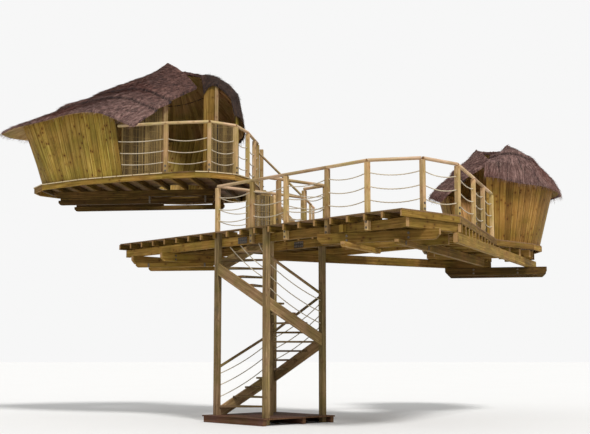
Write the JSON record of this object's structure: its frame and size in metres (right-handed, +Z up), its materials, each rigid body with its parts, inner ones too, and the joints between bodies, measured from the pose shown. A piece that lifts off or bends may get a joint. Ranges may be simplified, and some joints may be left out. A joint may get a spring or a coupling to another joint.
{
  "type": "tree house",
  "caption": "Timber tree house held between trunks: a railed mid deck over a winding stair tower, a raised deck with a swooping cabin roof and a small end cabin.",
  "frame": {"origin": "centre of the foot of the stair tower's front right post, on the ground", "axes": "+X along the mid deck's front edge to the right, +Y to the back, +Z up"},
  "size_m": [11.1669, 11.8055, 8.555],
  "materials": {
    "timber": "rough sawn, weathered",
    "boards": "weathered deck boards",
    "cladding": "knotty upright boards",
    "round_rail": "peeled round timber",
    "roofing": "fibrous roof covering in courses",
    "reed": "woven reed",
    "rope": "laid rope",
    "steel": "dark steel"
  },
  "bodies": {
    "root": {"ground_bearers": "timber", "ground_deck": "boards", "tower_posts": "timber", "stair_newel": "timber", "stair_strings": "timber", "stair_flight_1": "boards", "stair_flight_2": "boards", "stair_flight_3": "boards", "stair_flight_4": "boards", "stair_flight_5": "boards", "stair_ropes": "rope", "stair_handrail": "round_rail", "trunk_1_clamps": "timber", "trunk_2_clamps": "timber", "trunk_3_clamps": "timber", "girders": "timber", "front_beam": "timber", "back_beams": "timber", "splice_plates": "steel", "walkway_beams": "timber", "mid_joists": "timber", "walkway_bearers": "timber", "mid_deck": "boards", "walkway_deck": "boards", "edge_boards": "timber", "rail_posts": "timber", "handrails": "round_rail", "deck_ropes": "rope", "reed_screens": "reed", "upper_clamps": "timber", "upper_beams": "timber", "upper_joists": "timber", "upper_rim": "timber", "upper_deck": "boards", "cabin_wall_front": "cladding", "cabin_wall_back": "cladding", "cabin_posts": "timber", "gable_wall": "cladding", "roof_lower_course": "roofing", "roof_middle_course": "roofing", "roof_upper_course": "roofing", "upper_rail_posts": "timber", "upper_handrail": "round_rail", "upper_ropes": "rope", "ladder_strings": "timber", "ladder_treads": "boards", "ladder_handrails": "round_rail", "end_joists": "timber", "end_rim": "timber", "end_deck": "boards", "end_wall_left": "cladding", "end_wall_right": "cladding", "end_roof_lower": "roofing", "end_roof_upper": "roofing"}
  },
  "joints": []
}
